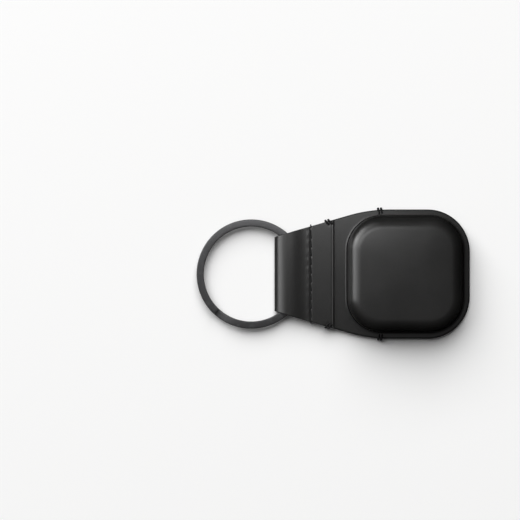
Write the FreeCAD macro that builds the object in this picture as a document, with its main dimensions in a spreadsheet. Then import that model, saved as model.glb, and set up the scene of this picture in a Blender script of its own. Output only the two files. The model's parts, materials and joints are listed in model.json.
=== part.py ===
"""Tracker tag holder: a leather pocket with a moulded front, a strap folded round a split ring.

The origin is on the back face under the middle of the tag. +X runs to the free end of the head,
-X to the split ring, and +Z is the moulded front. Lengths are in millimetres, angles in degrees.
"""

import FreeCAD, Part
import Sketcher
import math
import os
from FreeCAD import Placement, Rotation, Vector

DIMENSIONS = [
    ("tag_diameter", 31.9, "round tracker tag that the pocket is made for"),
    ("tag_thickness", 8.0, "thickness of that tag"),
    ("tag_clearance", 0.8, "room round the tag at the mouth of the cup"),
    ("tag_play", 0.2, "room over the tag when the pocket is shut"),
    ("cup_wall", 0.8, "wall of the moulded cup"),
    ("cup_fit", 0.05, "gap between the cup and the leather moulded over it"),
    ("cup_pad_thickness", 0.3, "lining on the roof of the cup"),
    ("cup_pad_margin", 0.3, "edge of that lining to the start of the roof's rounding"),
    ("front_leather", 1.2, "thickness of the moulded front leather"),
    ("strap_leather", 1.0, "thickness of the back and strap leather"),
    ("glue_line", 0.1, "gap between the front and back leathers round the rim"),
    ("rim_width", 1.9, "flat rim round the pillow"),
    ("head_corner", 13.5, "corner radius of the head's outline"),
    ("pillow_corner", 11.2, "corner radius of the pillow where it leaves the rim"),
    ("pillow_round", 4.5, "rounding of the pillow's top edge"),
    ("pillow_foot", 0.5, "hollow rounding where the pillow leaves the rim"),
    ("draft_angle", 4.0, "lean of the pillow and cup walls"),
    ("shoulder_reach", 11.6, "tag axis to where the neck's sides point at the head's sides"),
    ("shoulder_radius", 47.0, "arc from the neck into the sides of the head"),
    ("flex_past_pillow", 2.1, "pillow to the line where the neck bends"),
    ("tab_past_flex", 2.1, "that line to the end of the strap's tab on the front"),
    ("tack_past_tab", 1.8, "end of the tab to the tacks at its sides"),
    ("seam_past_tab", 7.3, "end of the tab to the row of stitches across the neck"),
    ("ring_past_seam", 1.52, "row of stitches to the near end of the ring"),
    ("strap_side_room", 2.9, "inside of the ring to the strap's sides in the fold"),
    ("fold_room", 0.3, "room over and under the ring in the fold"),
    ("drop_past_seam", 0.1, "end of the loop's slope past the row of stitches"),
    ("drop_before_ring", 0.65, "start of the loop's slope before the ring's end"),
    ("tongue_lap", 3.4, "length of the front leather's tongue under the tab"),
    ("core_gap", 0.1, "gap between the tongue and the filler beside it"),
    ("core_past_seam", 0.8, "filler running on past the row of stitches"),
    ("flex_radius", 1.3, "rounded ends of the strap layers at that line"),
    ("flex_gap", 0.1, "gap between the rounded ends and their hollows"),
    ("mouth_tack_reach", 8.1, "tag axis to the tacks at the ends of the pocket's mouth"),
    ("hinge_past_tack", 1.9, "mouth tacks to the line where the back panel folds open"),
    ("hinge_gap", 0.1, "gap between the fixed back and the panel at that line"),
    ("plate_thickness", 0.6, "closing plate that plugs the mouth of the cup"),
    ("plate_clearance", 0.35, "edge of the closing plate to the wall of the cup"),
    ("plate_margin", 0.8, "fold line to the near edge of the closing plate"),
    ("lining_thickness", 0.3, "lining on the closing plate"),
    ("lining_margin", 0.3, "edge of that lining to the edge of the plate"),
    ("heel_margin", 0.5, "edge of the heel's lining to the fold line"),
    ("thread_diameter", 0.6, "sewing thread"),
    ("thread_clearance", 0.1, "room round the thread in its holes and channels"),
    ("thread_bend", 0.45, "bend of the thread where it turns into a hole"),
    ("thread_sink", 0.05, "depth of the thread under the back face"),
    ("channel_depth", 0.35, "channel for the row of stitches on the front of the tab"),
    ("stitch_pitch", 2.8, "length of one stitch in the row"),
    ("stitch_gap", 1.0, "leather between neighbouring stitches, hole to hole"),
    ("stitch_slant", 10.0, "slant of the stitches in the row"),
    ("tack_pitch", 1.1, "distance between the two stitches of a tack"),
    ("tack_inset", 1.1, "hole of a tack stitch to the leather's edge"),
    ("tack_slant", 22.0, "slant of the tack stitches"),
    ("ring_diameter", 35.0, "outside of the split ring"),
    ("ring_wire_width", 2.3, "width of the ring's flat wire"),
    ("ring_wire_height", 0.7, "height of the ring's flat wire"),
    ("ring_wire_round", 0.22, "rounded corners of the ring's wire"),
    ("ring_turn_gap", 0.1, "gap between the two turns of the ring"),
    ("ring_play", 0.15, "ring to the inside of the fold when it is pulled tight"),
    ("ring_end_angle", 254.0, "where the ring's outer ends lie, from +X"),
    ("ring_ramp_angle", 26.0, "turn over which the wire climbs to the upper turn"),
]

doc = FreeCAD.newDocument("tracker_tag_holder")
sheet = doc.addObject("Spreadsheet::Sheet", "Dims")
for row, (alias, number, meaning) in enumerate(DIMENSIONS, start=1):
    sheet.set(f"A{row}", meaning)
    sheet.set(f"B{row}", str(number))
    sheet.setAlias(f"B{row}", alias)
doc.recompute()


class Size:
    """A number together with the sheet expression that it comes from."""

    def __init__(self, value, text):
        self.value = value
        self.text = text

    @staticmethod
    def of(other):
        return other if isinstance(other, Size) else Size(float(other), repr(float(other)))

    def join(self, other, sign, value):
        return Size(value, f"({self.text} {sign} {Size.of(other).text})")

    def __add__(self, other):
        return self.join(other, "+", self.value + Size.of(other).value)

    def __sub__(self, other):
        return self.join(other, "-", self.value - Size.of(other).value)

    def __mul__(self, other):
        return self.join(other, "*", self.value * Size.of(other).value)

    def __truediv__(self, other):
        return self.join(other, "/", self.value / Size.of(other).value)

    def __neg__(self):
        return Size(-self.value, f"(0 - {self.text})")


def cell(alias):
    return Size(float(getattr(sheet, alias)), f"Dims.{alias}")


def root(size):
    return Size(math.sqrt(size.value), f"sqrt({size.text})")


def tangent(angle):
    return Size(math.tan(math.radians(angle.value)), f"tan({angle.text} * 1 deg)")


def bind(target, **sizes):
    """Bind properties to sheet expressions; a double underscore stands for a dot."""
    for name, size in sizes.items():
        target.setExpression(name.replace("__", "."), size.text)


# Heights of the layers, from the back face up.
leather_top = cell("strap_leather")
rim_bottom = leather_top + cell("glue_line")
rim_top = rim_bottom + cell("front_leather")
tab_top = rim_top + cell("strap_leather")
plate_top = leather_top + cell("plate_thickness")
pocket_floor = plate_top + cell("lining_thickness")
cup_pad_bottom = pocket_floor + cell("tag_thickness") + cell("tag_play")
cup_roof = cup_pad_bottom + cell("cup_pad_thickness")
cup_top = cup_roof + cell("cup_wall")
cavity_top = cup_top + cell("cup_fit")
pillow_top = cavity_top + cell("front_leather")

# Half widths in plan, from the tag outwards.
pocket_half = cell("tag_diameter") / 2 + cell("tag_clearance")
cup_half = pocket_half + cell("cup_wall")
cavity_half = cup_half + cell("cup_fit")
pillow_half = cavity_half + cell("front_leather")
head_half = pillow_half + cell("rim_width")
plate_half = pocket_half - cell("plate_clearance")

# Corner and edge radii that follow from the pillow's.
cavity_corner = cell("pillow_corner") - cell("front_leather")
cup_corner = cavity_corner - cell("cup_fit")
pocket_corner = cup_corner - cell("cup_wall")
plate_corner = pocket_corner - cell("plate_clearance")
cavity_round = cell("pillow_round") - cell("front_leather")
cup_round = cavity_round - cell("cup_fit")
pocket_round = cup_round - cell("cup_wall")

# Places along X.
mouth_tack_x = -cell("mouth_tack_reach")
hinge_x = mouth_tack_x + cell("hinge_past_tack")
flex_x = -pillow_half - cell("flex_past_pillow")
flex_z = rim_top / 2
tab_x = flex_x - cell("tab_past_flex")
tab_tack_x = tab_x - cell("tack_past_tab")
tongue_x = tab_x - cell("tongue_lap")
seam_x = tab_x - cell("seam_past_tab")

# The ring lies behind the row of stitches, and the fold is drawn tight round it.
ring_height = cell("ring_wire_height") * 2 + cell("ring_turn_gap")
ring_outer = cell("ring_diameter") / 2
ring_inner = ring_outer - cell("ring_wire_width")
ring_x = seam_x - cell("ring_past_seam") - ring_outer
bend_inner = ring_height / 2 + cell("fold_room")
fold_radius = bend_inner + cell("strap_leather")
strap_half = ring_inner - cell("strap_side_room")
bend_x = ring_x + root(ring_inner * ring_inner - strap_half * strap_half) - cell("ring_play")
fold_x = bend_x + root(bend_inner * bend_inner - ring_height * ring_height / 4)
loop_x = fold_x - fold_radius
ring_z = fold_radius
drop_start = ring_x + ring_outer - cell("drop_before_ring")
drop_end = seam_x + cell("drop_past_seam")

# The neck's sides run straight from the strap in the fold to the shoulders.
shoulder_x = -cell("shoulder_reach")
neck_slope = (head_half - strap_half) / (shoulder_x - bend_x)
fold_half = strap_half - neck_slope * (bend_x - loop_x)


def origin_plane(body, role):
    return [plane for plane in body.Origin.OriginFeatures if plane.Role == role][0]


def new_body(name):
    return doc.addObject("PartDesign::Body", name)


def new_sketch(body, name, role, offset=None):
    sketch = body.newObject("Sketcher::SketchObject", name)
    sketch.AttachmentSupport = [(origin_plane(body, role), "")]
    sketch.MapMode = "FlatFace"
    if offset is not None:
        bind(sketch, AttachmentOffset__Base__z=offset)
    return sketch


def constrain(sketch, kind, *places, size=None):
    """Add one constraint; with a size, bind it to that size's expression."""
    if size is None:
        return sketch.addConstraint(Sketcher.Constraint(kind, *places))
    index = sketch.addConstraint(Sketcher.Constraint(kind, *places, size.value))
    sketch.setExpression(f"Constraints[{index}]", size.text)
    return index


def line(sketch, start, end):
    return sketch.addGeometry(Part.LineSegment(Vector(*start, 0), Vector(*end, 0)))


def arc(sketch, centre, radius, first, last):
    circle = Part.Circle(Vector(*centre, 0), Vector(0, 0, 1), radius)
    return sketch.addGeometry(Part.ArcOfCircle(circle, math.radians(first), math.radians(last)))


def rounded_square(sketch, half, corner):
    """A square with rounded corners round the sketch's origin."""
    side = half.value
    middle = side - corner.value
    right = line(sketch, (side, -middle), (side, middle))
    top = line(sketch, (middle, side), (-middle, side))
    left = line(sketch, (-side, middle), (-side, -middle))
    bottom = line(sketch, (-middle, -side), (middle, -side))
    sides = [right, top, left, bottom]
    centres = [(middle, middle), (-middle, middle), (-middle, -middle), (middle, -middle)]
    corners = [arc(sketch, centres[k], corner.value, 90 * k, 90 * k + 90) for k in range(4)]
    for k in range(4):
        constrain(sketch, "Tangent", sides[k], 2, corners[k], 1)
        constrain(sketch, "Tangent", corners[k], 2, sides[(k + 1) % 4], 1)
    for k in range(1, 4):
        constrain(sketch, "Equal", corners[0], corners[k])
    constrain(sketch, "Vertical", right)
    constrain(sketch, "Vertical", left)
    constrain(sketch, "Horizontal", top)
    constrain(sketch, "Horizontal", bottom)
    constrain(sketch, "Radius", corners[0], size=corner)
    constrain(sketch, "DistanceX", -1, 1, right, 1, size=half)
    constrain(sketch, "DistanceX", left, 1, -1, 1, size=half)
    constrain(sketch, "DistanceY", -1, 1, top, 1, size=half)
    constrain(sketch, "DistanceY", bottom, 1, -1, 1, size=half)


def pad(body, name, profile, height, draft=None):
    feature = body.newObject("PartDesign::Pad", name)
    feature.Profile = profile
    bind(feature, Length=height)
    if draft is not None:
        bind(feature, TaperAngle=-draft)
    return feature


def flat_edges(shape, height, reach):
    """Names of the level edges at a height that stay within a reach of the Z axis."""
    names = []
    for number, edge in enumerate(shape.Edges, start=1):
        box = edge.BoundBox
        level = abs(box.ZMin - height) < 1e-4 and abs(box.ZMax - height) < 1e-4
        inside = max(abs(box.XMin), abs(box.XMax), abs(box.YMin), abs(box.YMax)) < reach
        if level and inside:
            names.append(f"Edge{number}")
    return names


def cap_body(name, half, corner, bottom, top, edge_round):
    """A rounded-square block with leaning walls and a rounded top edge."""
    body = new_body(name)
    outline = new_sketch(body, f"{name}_outline", "XY_Plane", bottom)
    rounded_square(outline, half, corner)
    block = pad(body, f"{name}_block", outline, top - bottom, cell("draft_angle"))
    doc.recompute()
    rounding = body.newObject("PartDesign::Fillet", f"{name}_rounding")
    rounding.Base = (block, flat_edges(block.Shape, top.value, half.value))
    bind(rounding, Radius=edge_round)
    body.Tip = rounding
    doc.recompute()
    return body


def sheet_body(name, half, corner, bottom, top):
    """A flat rounded-square sheet."""
    body = new_body(name)
    outline = new_sketch(body, f"{name}_outline", "XY_Plane", bottom)
    rounded_square(outline, half, corner)
    pad(body, f"{name}_sheet", outline, top - bottom)
    return body


def slab(name, x_start, x_end, bottom, top, half_width=None):
    """A block across the whole part between two places along X and two heights."""
    half_width = half_width or head_half + 5
    block = doc.addObject("Part::Box", name)
    bind(block, Length=x_end - x_start, Width=half_width * 2, Height=top - bottom)
    bind(block, Placement__Base__x=x_start, Placement__Base__y=-half_width, Placement__Base__z=bottom)
    return block


def boolean(kind, name, base, tool):
    result = doc.addObject(f"Part::{kind}", name)
    result.Base = base
    result.Tool = tool
    result.Refine = True
    return result


def plain_shape(name, shape):
    feature = doc.addObject("Part::Feature", name)
    feature.Shape = shape
    return feature


# The plan of the whole leather: head, shoulders and neck, as a block to trim each layer with.


def plan_block():
    body = new_body("plan")
    sketch = new_sketch(body, "plan_outline", "XY_Plane")
    half = head_half.value
    radius = cell("head_corner").value
    slope = math.atan(neck_slope.value)
    shoulder = cell("shoulder_radius").value
    fold = (loop_x.value, fold_half.value)
    meet = shoulder_x.value
    reach = shoulder * math.tan(slope / 2)
    neck_end = (meet - reach * math.cos(slope), half - reach * math.sin(slope))
    side_start = meet + reach
    side_end = half - radius
    degrees = math.degrees(slope)
    fold_line = line(sketch, (fold[0], -fold[1]), (fold[0], fold[1]))
    neck_up = line(sketch, (fold[0], fold[1]), neck_end)
    shoulder_up = arc(sketch, (side_start, half - shoulder), shoulder, 90, 90 + degrees)
    side_up = line(sketch, (side_start, half), (side_end, half))
    corner_up = arc(sketch, (side_end, side_end), radius, 0, 90)
    end = line(sketch, (half, side_end), (half, -side_end))
    corner_low = arc(sketch, (side_end, -side_end), radius, 270, 360)
    side_low = line(sketch, (side_end, -half), (side_start, -half))
    shoulder_low = arc(sketch, (side_start, shoulder - half), shoulder, 270 - degrees, 270)
    neck_low = line(sketch, (neck_end[0], -neck_end[1]), (fold[0], -fold[1]))
    constrain(sketch, "Coincident", fold_line, 2, neck_up, 1)
    constrain(sketch, "Coincident", neck_low, 2, fold_line, 1)
    constrain(sketch, "Tangent", neck_up, 2, shoulder_up, 2)
    constrain(sketch, "Tangent", shoulder_up, 1, side_up, 1)
    constrain(sketch, "Tangent", side_up, 2, corner_up, 2)
    constrain(sketch, "Tangent", corner_up, 1, end, 1)
    constrain(sketch, "Tangent", end, 2, corner_low, 2)
    constrain(sketch, "Tangent", corner_low, 1, side_low, 1)
    constrain(sketch, "Tangent", side_low, 2, shoulder_low, 2)
    constrain(sketch, "Tangent", shoulder_low, 1, neck_low, 1)
    constrain(sketch, "Symmetric", fold_line, 1, fold_line, 2, -1)
    constrain(sketch, "Symmetric", end, 1, end, 2, -1)
    constrain(sketch, "Horizontal", side_up)
    constrain(sketch, "Horizontal", side_low)
    constrain(sketch, "Equal", corner_up, corner_low)
    constrain(sketch, "Equal", shoulder_up, shoulder_low)
    constrain(sketch, "Radius", corner_up, size=cell("head_corner"))
    constrain(sketch, "Radius", shoulder_up, size=cell("shoulder_radius"))
    constrain(sketch, "DistanceX", fold_line, 1, -1, 1, size=-loop_x)
    constrain(sketch, "DistanceY", fold_line, 1, fold_line, 2, size=fold_half * 2)
    constrain(sketch, "DistanceX", -1, 1, end, 1, size=head_half)
    constrain(sketch, "DistanceY", side_low, 1, side_up, 1, size=head_half * 2)
    for neck_side, way in ((neck_up, 1), (neck_low, -1)):
        aim = sketch.addGeometry(Part.Point(Vector(meet, way * half, 0)), True)
        constrain(sketch, "DistanceX", aim, 1, -1, 1, size=-shoulder_x)
        ends = (-1, 1, aim, 1) if way > 0 else (aim, 1, -1, 1)
        constrain(sketch, "DistanceY", *ends, size=head_half)
        constrain(sketch, "PointOnObject", aim, 1, neck_side)
    pad(body, "plan_pad", sketch, pillow_top)
    return body


def edge_at(x):
    """Half width of the plan at a place along X, and the slope of its edge in radians."""
    half = head_half.value
    slope = math.atan(neck_slope.value)
    shoulder = cell("shoulder_radius").value
    meet = shoulder_x.value
    reach = shoulder * math.tan(slope / 2)
    if x <= meet - reach * math.cos(slope):
        return fold_half.value + (x - loop_x.value) * neck_slope.value, slope
    if x >= meet + reach:
        return half, 0.0
    angle = math.asin((meet + reach - x) / shoulder)
    return half - shoulder * (1 - math.cos(angle)), angle


plan = plan_block()

# Thread: closed loops of thread, each through its own holes or round the leather's edge.

thread_radius = cell("thread_diameter").value / 2
hole_radius = thread_radius + cell("thread_clearance").value
back_thread = cell("thread_sink").value + thread_radius
back_channel = back_thread + hole_radius


def thread_loop(start, end, low, high):
    """One stitch: thread over the front, down at the end, under the back, up at the start."""
    along = (end - start).normalize()
    up = Vector(0, 0, 1)
    bend = cell("thread_bend").value
    corners = [
        (start + up * high, along, -up),
        (end + up * high, -along, -up),
        (end + up * low, -along, up),
        (start + up * low, along, up),
    ]
    edges = []
    for k, (point, first, second) in enumerate(corners):
        ahead, behind = (first, second) if k % 2 == 0 else (second, first)
        middle = point + (first + second) * bend * (1 - math.sqrt(0.5))
        edges.append(Part.Arc(point + behind * bend, middle, point + ahead * bend).toShape())
        after, next_first, next_second = corners[(k + 1) % 4]
        next_behind = next_second if (k + 1) % 2 == 0 else next_first
        edges.append(Part.LineSegment(point + ahead * bend, after + next_behind * bend).toShape())
    path = Part.Wire(edges)
    section = Part.makeCircle(thread_radius, edges[0].lastVertex().Point, along)
    return path.makePipeShell([Part.Wire(section)], True, False)


def hole(place, height):
    return Part.makeCylinder(hole_radius, height + 2, place - Vector(0, 0, 1))


def back_groove(start, end):
    """A channel in the back face for the thread between two places."""
    along = end - start
    length = along.Length + 2 * hole_radius
    box = Part.makeBox(length, 2 * hole_radius, back_channel + 1, Vector(-hole_radius, -hole_radius, -1))
    turn = Rotation(Vector(1, 0, 0), along)
    box.Placement = Placement(start, turn)
    return box


def tack_stitches(x, side):
    """Inner and outer ends of the two stitches of a tack on the upper or lower edge."""
    half, slope = edge_at(x)
    tangent_way = Vector(math.cos(slope), math.sin(slope), 0)
    outward = Vector(-math.sin(slope), math.cos(slope), 0)
    slant = math.radians(cell("tack_slant").value)
    way = outward * math.cos(slant) - tangent_way * math.sin(slant)
    inner = way * (cell("tack_inset").value / math.cos(slant))
    outer = way * (hole_radius / math.cos(slant))
    pairs = []
    for step in (-0.5, 0.5):
        place = Vector(x, half, 0) + tangent_way * (step * cell("tack_pitch").value)
        ends = [place - inner, place + outer]
        pairs.append([Vector(end.x, side * end.y, 0) for end in ends])
    return pairs


def seam_stitches():
    """Ends of the stitches in the row across the neck, with one round each edge."""
    half, _ = edge_at(seam_x.value)
    pitch = cell("stitch_pitch").value
    reach = (pitch - cell("stitch_gap").value) / 2
    slant = math.radians(cell("stitch_slant").value)
    count = int(2 * half / pitch)
    way = Vector(-math.sin(slant), math.cos(slant), 0)
    pairs = []
    for k in range(count):
        place = Vector(seam_x.value, (k - (count - 1) / 2) * pitch, 0)
        pairs.append([place - way * reach, place + way * reach])
    last = (count - 1) / 2 * pitch + reach * math.cos(slant) + 2 * hole_radius
    for side in (-1, 1):
        inner = Vector(seam_x.value, side * last, 0)
        pairs.append([inner, Vector(seam_x.value, side * (half + hole_radius), 0)])
    return pairs


def thread_node(name, pairs, high):
    loops = [thread_loop(start, end, back_thread, high) for start, end in pairs]
    return plain_shape(name, Part.makeCompound(loops))


def tack_cutter(name, x):
    """Holes and back channels for the tacks on both edges at a place along X."""
    cuts = []
    for side in (-1, 1):
        for inner, outer in tack_stitches(x, side):
            cuts.append(hole(inner, tab_top.value).fuse(back_groove(inner, outer)))
    return plain_shape(name, Part.makeCompound(cuts))


seam_pairs = seam_stitches()
seam_high = (tab_top - cell("channel_depth")).value + hole_radius
neck_seam = thread_node("neck_seam", seam_pairs, seam_high)
tab_tack_high = tab_top.value + hole_radius
mouth_tack_high = rim_top.value + hole_radius
tab_tack_upper = thread_node("tab_tack_upper", tack_stitches(tab_tack_x.value, 1), tab_tack_high)
tab_tack_lower = thread_node("tab_tack_lower", tack_stitches(tab_tack_x.value, -1), tab_tack_high)
mouth_tack_upper = thread_node("mouth_tack_upper", tack_stitches(mouth_tack_x.value, 1), mouth_tack_high)
mouth_tack_lower = thread_node("mouth_tack_lower", tack_stitches(mouth_tack_x.value, -1), mouth_tack_high)
tab_tack_cutter = tack_cutter("tab_tack_holes", tab_tack_x.value)
mouth_tack_cutter = tack_cutter("mouth_tack_holes", mouth_tack_x.value)


def seam_cutter():
    """Holes for the row of stitches, with its channels on the front and the back."""
    half, _ = edge_at(seam_x.value)
    slant = math.radians(cell("stitch_slant").value)
    sway = (cell("stitch_pitch").value - cell("stitch_gap").value) / 2 * math.sin(slant)
    width = 2 * (hole_radius + sway)
    corner = Vector(seam_x.value - width / 2, -half - 1, 0)
    back = Part.makeBox(width, 2 * half + 2, back_channel + 1, corner - Vector(0, 0, 1))
    depth = cell("channel_depth").value
    front_corner = corner + Vector(0, 0, tab_top.value - depth)
    front = Part.makeBox(width, 2 * half + 2, depth + 1, front_corner)
    holes = []
    for start, end in seam_pairs:
        holes.append(hole(start, tab_top.value))
        if abs(end.y) < half:
            holes.append(hole(end, tab_top.value))
    return plain_shape("seam_holes", back.multiFuse([front, *holes]))


seam_holes = seam_cutter()

# Where the neck bends: the strap's layers end in a round that turns in a hollow of the head's layers.


def flex_tool(name, radius):
    """Everything on the strap's side of the bending line, with a round end about its axis."""
    side = slab(f"{name}_side", loop_x - 5, flex_x, Size.of(-1), pillow_top)
    round_end = doc.addObject("Part::Cylinder", f"{name}_round")
    bind(round_end, Radius=radius, Height=head_half * 2 + 20)
    round_end.Placement = Placement(Vector(0, 0, 0), Rotation(Vector(1, 0, 0), -90))
    bind(round_end, Placement__Base__x=flex_x, Placement__Base__z=flex_z)
    bind(round_end, Placement__Base__y=-head_half - 10)
    return boolean("Fuse", name, side, round_end)


strap_side = flex_tool("strap_side", cell("flex_radius"))
head_hollow = flex_tool("head_hollow", cell("flex_radius") + cell("flex_gap"))

# Head: moulded front leather over a cup, and the fixed part of the back.


def make_front_shell():
    rim_slab = slab("rim_slab", flex_x, head_half, rim_bottom, rim_top)
    rim = boolean("Common", "rim", plan, rim_slab)
    corner = cell("pillow_corner")
    pillow = cap_body("pillow", pillow_half, corner, rim_top, pillow_top, cell("pillow_round"))
    cavity = cap_body("cavity", cavity_half, cavity_corner, rim_bottom, cavity_top, cavity_round)
    solid = boolean("Fuse", "front_solid", rim, pillow)
    doc.recompute()
    foot = doc.addObject("Part::Fillet", "front_foot")
    foot.Base = solid
    names = flat_edges(solid.Shape, rim_top.value, pillow_half.value + 0.01)
    radius = cell("pillow_foot").value
    foot.Edges = [(int(name[4:]), radius, radius) for name in names]
    hollow = boolean("Cut", "front_hollow", foot, cavity)
    bent = boolean("Cut", "front_bent", hollow, head_hollow)
    return boolean("Cut", "front_shell", bent, mouth_tack_cutter)


def make_tag_cup():
    outside = cap_body("cup_outside", cup_half, cup_corner, rim_bottom, cup_top, cup_round)
    inside = cap_body("cup_inside", pocket_half, pocket_corner, rim_bottom, cup_roof, pocket_round)
    return boolean("Cut", "tag_cup", outside, inside)


def make_cup_lining():
    lean = tangent(cell("draft_angle")) * (cup_roof - rim_bottom)
    half = pocket_half - lean - pocket_round - cell("cup_pad_margin")
    corner = pocket_corner - lean - pocket_round
    return sheet_body("cup_lining", half, corner, cup_pad_bottom, cup_roof)


def make_back_heel():
    layer = slab("heel_slab", flex_x, hinge_x - cell("hinge_gap") / 2, Size.of(0), leather_top)
    trimmed = boolean("Common", "heel_layer", plan, layer)
    bent = boolean("Cut", "heel_bent", trimmed, head_hollow)
    return boolean("Cut", "back_heel", bent, mouth_tack_cutter)


def make_heel_lining():
    whole = sheet_body("heel_lining_sheet", plate_half, plate_corner, leather_top, pocket_floor)
    end = hinge_x - cell("heel_margin")
    side = slab("heel_lining_slab", -head_half, end, leather_top, pillow_top)
    return boolean("Common", "heel_lining", whole, side)


front_shell = make_front_shell()
tag_cup = make_tag_cup()
cup_lining = make_cup_lining()
back_heel = make_back_heel()
heel_lining = make_heel_lining()

# Back flap: the free part of the back, with the plate that plugs the mouth of the cup.


def make_back_panel():
    layer = slab("panel_slab", hinge_x + cell("hinge_gap") / 2, head_half, Size.of(0), leather_top)
    return boolean("Common", "back_panel", plan, layer)


def make_flap_sheet(name, half, corner, start, bottom, top):
    whole = sheet_body(f"{name}_sheet", half, corner, bottom, top)
    return boolean("Common", name, whole, slab(f"{name}_slab", start, head_half, bottom, top))


plate_start = hinge_x + cell("plate_margin")
margin = cell("lining_margin")
back_panel = make_back_panel()
closing_plate = make_flap_sheet(
    "closing_plate", plate_half, plate_corner, plate_start, leather_top, plate_top
)
plate_lining = make_flap_sheet(
    "plate_lining", plate_half - margin, plate_corner - margin, plate_start + margin, plate_top, pocket_floor
)

# Strap: one length of leather from the tab, round the ring and along the back.


def make_strap():
    body = new_body("strap_length")
    path = new_sketch(body, "strap_path", "XZ_Plane")
    half = cell("strap_leather") / 2
    start = flex_x + cell("flex_radius")
    back_z = half
    bend = fold_radius - half
    crest_z = fold_radius * 2 - half
    tab_z = rim_top + half
    fall = (crest_z - tab_z).value
    run = (drop_end - drop_start).value
    turn = 2 * math.atan2(fall, run)
    radius = run / 2 / math.sin(turn)
    degrees = math.degrees(turn)
    back = line(path, (start.value, back_z.value), (fold_x.value, back_z.value))
    fold = arc(path, (fold_x.value, fold_radius.value), bend.value, 90, 270)
    crest = line(path, (fold_x.value, crest_z.value), (drop_start.value, crest_z.value))
    crown = arc(path, (drop_start.value, crest_z.value - radius), radius, 90 - degrees, 90)
    dip = arc(path, (drop_end.value, tab_z.value + radius), radius, 270 - degrees, 270)
    tab = line(path, (drop_end.value, tab_z.value), (tab_x.value, tab_z.value))
    constrain(path, "Tangent", back, 2, fold, 2)
    constrain(path, "Tangent", fold, 1, crest, 1)
    constrain(path, "Tangent", crest, 2, crown, 2)
    constrain(path, "Tangent", crown, 1, dip, 1)
    constrain(path, "Tangent", dip, 2, tab, 1)
    for level in (back, crest, tab):
        constrain(path, "Horizontal", level)
    constrain(path, "Equal", crown, dip)
    constrain(path, "Radius", fold, size=bend)
    constrain(path, "DistanceX", back, 1, -1, 1, size=-start)
    constrain(path, "DistanceY", -1, 1, back, 1, size=back_z)
    constrain(path, "DistanceX", fold, 3, -1, 1, size=-fold_x)
    constrain(path, "DistanceX", crest, 2, -1, 1, size=-drop_start)
    constrain(path, "DistanceX", tab, 1, -1, 1, size=-drop_end)
    constrain(path, "DistanceX", tab, 2, -1, 1, size=-tab_x)
    constrain(path, "DistanceY", -1, 1, tab, 2, size=tab_z)
    section = new_sketch(body, "strap_section", "YZ_Plane", start)
    width = head_half + 1
    right = width.value
    top = cell("strap_leather").value
    bottom_edge = line(section, (-right, 0), (right, 0))
    right_edge = line(section, (right, 0), (right, top))
    top_edge = line(section, (right, top), (-right, top))
    left_edge = line(section, (-right, top), (-right, 0))
    edges = [bottom_edge, right_edge, top_edge, left_edge]
    for k in range(4):
        constrain(section, "Coincident", edges[k], 2, edges[(k + 1) % 4], 1)
    constrain(section, "Horizontal", bottom_edge)
    constrain(section, "Horizontal", top_edge)
    constrain(section, "Vertical", right_edge)
    constrain(section, "Vertical", left_edge)
    constrain(section, "PointOnObject", bottom_edge, 1, -1)
    constrain(section, "DistanceX", -1, 1, right_edge, 1, size=width)
    constrain(section, "DistanceX", left_edge, 1, -1, 1, size=width)
    constrain(section, "DistanceY", right_edge, 1, right_edge, 2, size=cell("strap_leather"))
    length = body.newObject("PartDesign::AdditivePipe", "strap_pipe")
    length.Profile = section
    length.Spine = (path, [])
    body.Tip = length
    trimmed = boolean("Common", "strap_trimmed", body, plan)
    ended = boolean("Cut", "strap_ended", trimmed, strap_end_tool())
    sewn = boolean("Cut", "strap_sewn", ended, seam_holes)
    return boolean("Cut", "strap", sewn, tab_tack_cutter)


def strap_end_tool():
    """What lies past the strap's round end at the bending line."""
    past = slab("strap_end_past", flex_x, flex_x + cell("flex_radius") + 5, Size.of(-1), rim_top)
    return boolean("Cut", "strap_end", past, strap_side)


def make_strap_tongue():
    end = flex_x + cell("flex_radius") + 1
    layer = boolean("Common", "tongue_layer", plan, slab("tongue_slab", tongue_x, end, rim_bottom, rim_top))
    ended = boolean("Common", "tongue_ended", layer, strap_side)
    return boolean("Cut", "strap_tongue", ended, tab_tack_cutter)


def make_strap_core():
    start = seam_x - cell("core_past_seam")
    end = tongue_x - cell("core_gap")
    layer = boolean("Common", "core_layer", plan, slab("core_slab", start, end, leather_top, rim_top))
    sewn = boolean("Cut", "core_sewn", layer, seam_holes)
    return boolean("Cut", "strap_core", sewn, tab_tack_cutter)


strap = make_strap()
strap_tongue = make_strap_tongue()
strap_core = make_strap_core()

# Split ring: flat wire, two turns with a short climb between them.


def wire_section(angle, height):
    """Outline of the flat wire at an angle round the ring and a height of its middle."""
    width = cell("ring_wire_width").value / 2
    rise = cell("ring_wire_height").value / 2
    small = cell("ring_wire_round").value
    middle = (ring_outer.value + ring_inner.value) / 2
    way = Vector(math.cos(angle), math.sin(angle), 0)
    up = Vector(0, 0, 1)
    centre = Vector(ring_x.value, 0, height) + way * middle

    def spot(across, above):
        return centre + way * across + up * above

    edges = []
    signs = [(1, 1), (-1, 1), (-1, -1), (1, -1)]
    for k, (across, above) in enumerate(signs):
        core = (across * (width - small), above * (rise - small))
        half = small * math.sqrt(0.5)
        on_side = spot(core[0] + across * small, core[1])
        on_face = spot(core[0], core[1] + above * small)
        first, last = (on_side, on_face) if across * above > 0 else (on_face, on_side)
        edges.append(Part.Arc(first, spot(core[0] + across * half, core[1] + above * half), last).toShape())
        nxt = signs[(k + 1) % 4]
        next_core = (nxt[0] * (width - small), nxt[1] * (rise - small))
        if nxt[0] * nxt[1] > 0:
            target = spot(next_core[0] + nxt[0] * small, next_core[1])
        else:
            target = spot(next_core[0], next_core[1] + nxt[1] * small)
        edges.append(Part.LineSegment(last, target).toShape())
    return Part.Wire(edges)


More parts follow.
